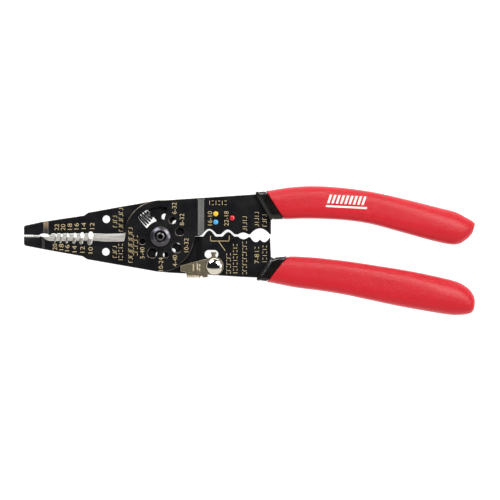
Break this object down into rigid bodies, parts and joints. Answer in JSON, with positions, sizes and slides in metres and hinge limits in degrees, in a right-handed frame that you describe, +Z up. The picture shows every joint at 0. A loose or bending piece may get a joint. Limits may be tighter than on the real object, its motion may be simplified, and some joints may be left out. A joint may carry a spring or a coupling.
{
  "type": "wire stripper",
  "caption": "Hand wire stripper with stripping notches, a blade, screw-shear holes, crimp dies, a return spring, a thumb lock and two padded handles.",
  "frame": {"origin": "centre of the bounding box, on the surface that the tool lies on", "axes": "+X from the nose to the handle ends, +Y to the side of the handle that opens, +Z up through the plates, from the underside to the marked face"},
  "size_m": [0.2222, 0.0636, 0.0125],
  "materials": {
    "plate_steel": "satin black oxide, ground bright at the stripping edge",
    "pivot_steel": "dark, turned",
    "rivet_steel": "polished",
    "latch_plate": "satin plated",
    "spring_wire": "drawn wire",
    "sleeve_black": "glossy",
    "grip_red": "satin"
  },
  "bodies": {
    "rear": {"rear_half": "plate_steel", "pivot_barrel": "pivot_steel", "pivot_screw": "pivot_steel", "pivot_washer": "pivot_steel", "return_spring": "spring_wire", "lock_rivet": "rivet_steel", "lock_washer": "rivet_steel", "lower_sleeve": "sleeve_black", "lower_grip": "grip_red"},
    "front": {"front_half": "plate_steel", "upper_sleeve": "sleeve_black", "upper_grip": "grip_red"},
    "lock": {"lock_lever": "latch_plate"}
  },
  "joints": [
    {"name": "plier_pivot", "type": "hinge", "parent": "rear", "child": "front", "pos_m": [-0.04385, 0.00691, 0.00625], "axis": [0, 0, 1], "range_deg": [0, 25], "deforming": ["return_spring"]},
    {"name": "lock_pivot", "type": "hinge", "parent": "rear", "child": "lock", "pos_m": [-0.01735, -0.00769, 0.00625], "axis": [0, 0, 1], "range_deg": [0, 24]}
  ]
}
